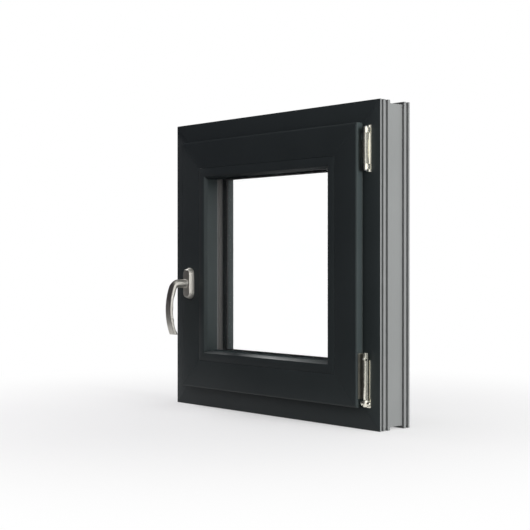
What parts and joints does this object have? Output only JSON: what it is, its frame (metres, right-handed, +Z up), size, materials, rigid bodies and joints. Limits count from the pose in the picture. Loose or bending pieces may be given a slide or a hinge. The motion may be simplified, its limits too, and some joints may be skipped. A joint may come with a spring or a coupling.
{
  "type": "pvc tilt-and-turn window",
  "caption": "Square tilt-and-turn PVC window with outer frame, proud sash, double glazing, turning lever handle and two bare hinges.",
  "frame": {"origin": "middle of the sill's underside, in the plane of the frame's room-side face", "axes": "+Z up, +X along the width towards the hinges as seen from the room, +Y from the room outwards"},
  "size_m": [0.6, 0.1618, 0.6],
  "materials": {
    "frame_profile": "anthracite foil on room and outer faces, bare grey PVC round the edge",
    "sash_profile": "matt anthracite foil",
    "glazing_bead": "matt anthracite foil",
    "glass": "clear float glass",
    "spacer": "matt perforated spacer bar",
    "edge_sealant": "black sealant",
    "grey_gasket": "matt grey soft PVC",
    "black_gasket": "matt black rubber",
    "setting_block": "hard plastic",
    "satin_nickel": "satin nickel",
    "hinge_metal": "bright nickel-silver plating",
    "zinc_steel": "zinc-plated steel"
  },
  "bodies": {
    "window": {"bead_bottom": "glazing_bead", "bead_gasket": "grey_gasket", "bead_left": "glazing_bead", "bead_right": "glazing_bead", "bead_top": "glazing_bead", "bottom_hinge_bearing": "hinge_metal", "bottom_hinge_leaf": "hinge_metal", "bottom_hinge_pin": "zinc_steel", "bottom_hinge_post": "hinge_metal", "bottom_hinge_screw": "zinc_steel", "bottom_hinge_sleeve": "hinge_metal", "drainage_caps": "sash_profile", "frame_head": "frame_profile", "frame_jamb_left": "frame_profile", "frame_jamb_right": "frame_profile", "frame_sill": "frame_profile", "glass_edge_seal": "edge_sealant", "glass_inner_pane": "glass", "glass_outer_pane": "glass", "glass_spacer": "spacer", "handle_rose": "satin_nickel", "outer_glazing_gasket": "black_gasket", "outer_stop_gasket": "black_gasket", "overlap_gasket": "black_gasket", "sash_bottom_rail": "sash_profile", "sash_stile_left": "sash_profile", "sash_stile_right": "sash_profile", "sash_top_rail": "sash_profile", "setting_blocks": "setting_block", "top_hinge_bracket": "hinge_metal", "top_hinge_pin": "zinc_steel", "top_hinge_sleeve": "hinge_metal"},
    "handle": {"handle_lever": "satin_nickel", "handle_spindle": "zinc_steel"}
  },
  "joints": [
    {"name": "handle_turn", "type": "hinge", "parent": "window", "child": "handle", "pos_m": [-0.23075, -0.019, 0.26], "axis": [0, -1, 0], "range_deg": [0, 180]}
  ]
}
